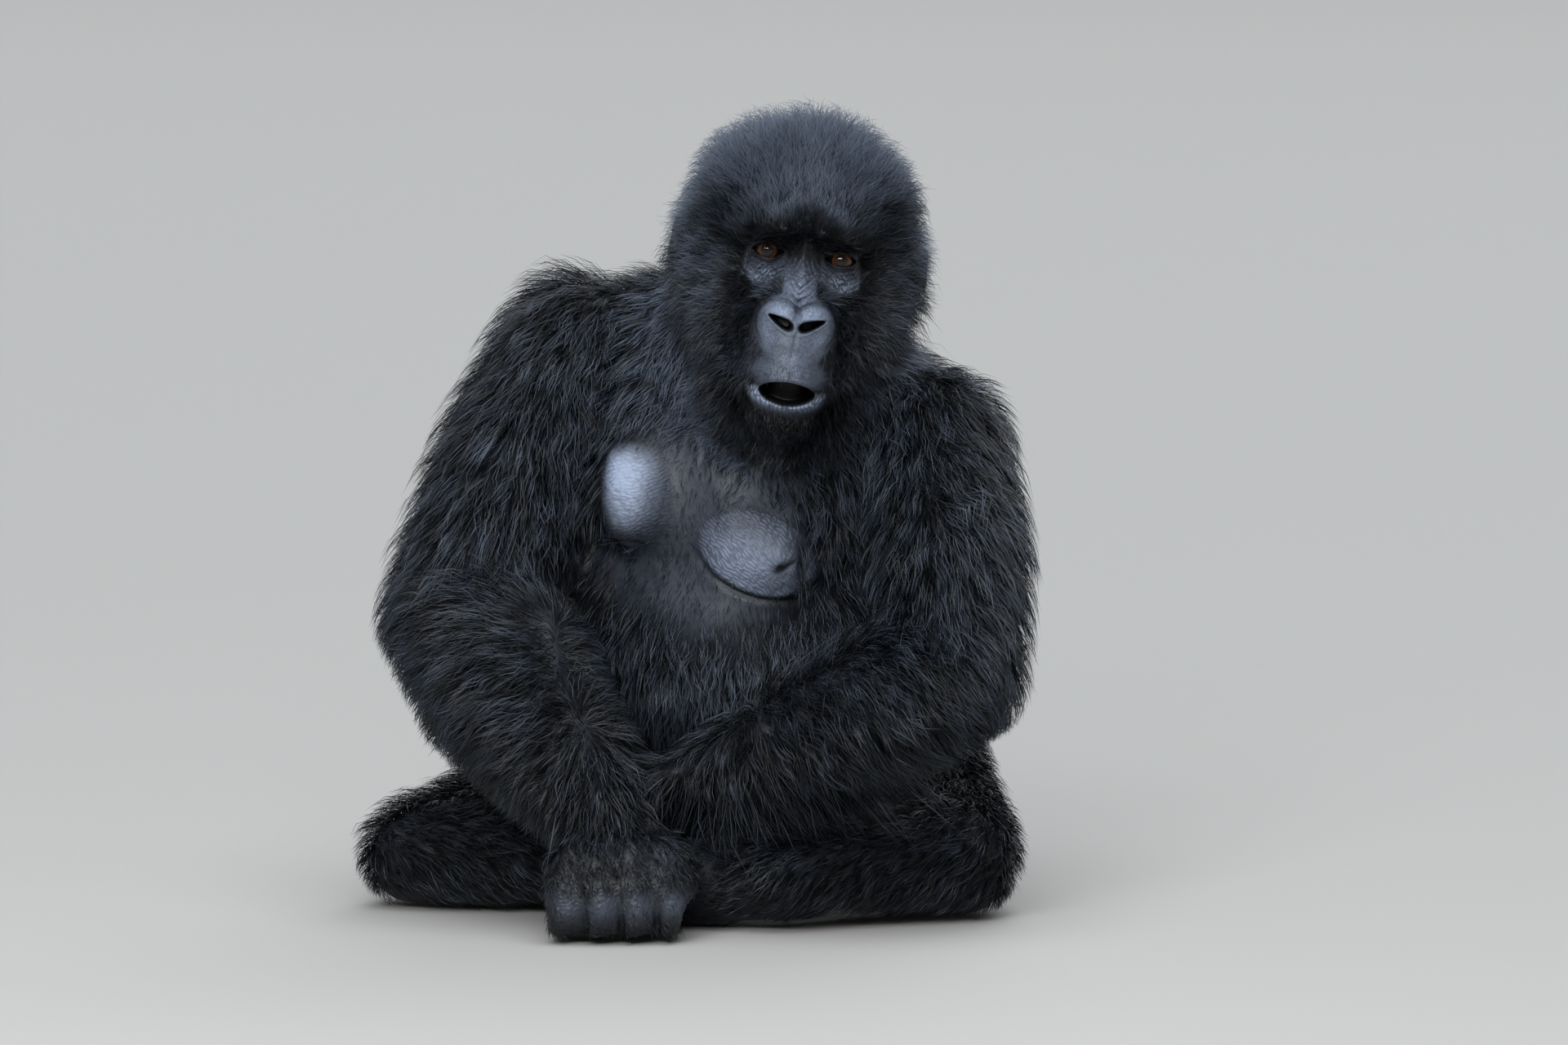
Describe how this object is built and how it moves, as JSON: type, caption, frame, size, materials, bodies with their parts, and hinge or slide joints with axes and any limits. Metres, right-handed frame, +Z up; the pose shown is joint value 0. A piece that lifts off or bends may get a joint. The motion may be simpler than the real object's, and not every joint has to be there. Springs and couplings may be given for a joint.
{
  "type": "mountain gorilla",
  "caption": "Life-size still model of an adult female mountain gorilla, seated with folded legs, one fist on the floor, the other arm across her lap, mouth slightly open.",
  "frame": {"origin": "bottom centre of the whole model's box, on the floor under her belly", "axes": "+Z up, she looks along -Y, her left side is at +X"},
  "size_m": [0.7064, 0.6484, 0.8273],
  "materials": {
    "coat": "black fur with a faint blue-grey sheen",
    "skin": "bare grey-black wrinkled skin, slightly glossy",
    "eye": "wet, orange-brown"
  },
  "bodies": {
    "root": {"ear_left": "skin", "ear_right": "skin", "eye_left": "eye", "eye_right": "eye", "foot_left": "skin", "foot_right": "skin", "forearm_left": "coat", "forearm_right": "coat", "hand_left": "skin", "hand_right": "skin", "head": "coat", "neck": "coat", "shin_left": "coat", "shin_right": "coat", "thigh_left": "coat", "thigh_right": "coat", "trunk": "coat", "upper_arm_left": "coat", "upper_arm_right": "coat"}
  },
  "joints": []
}
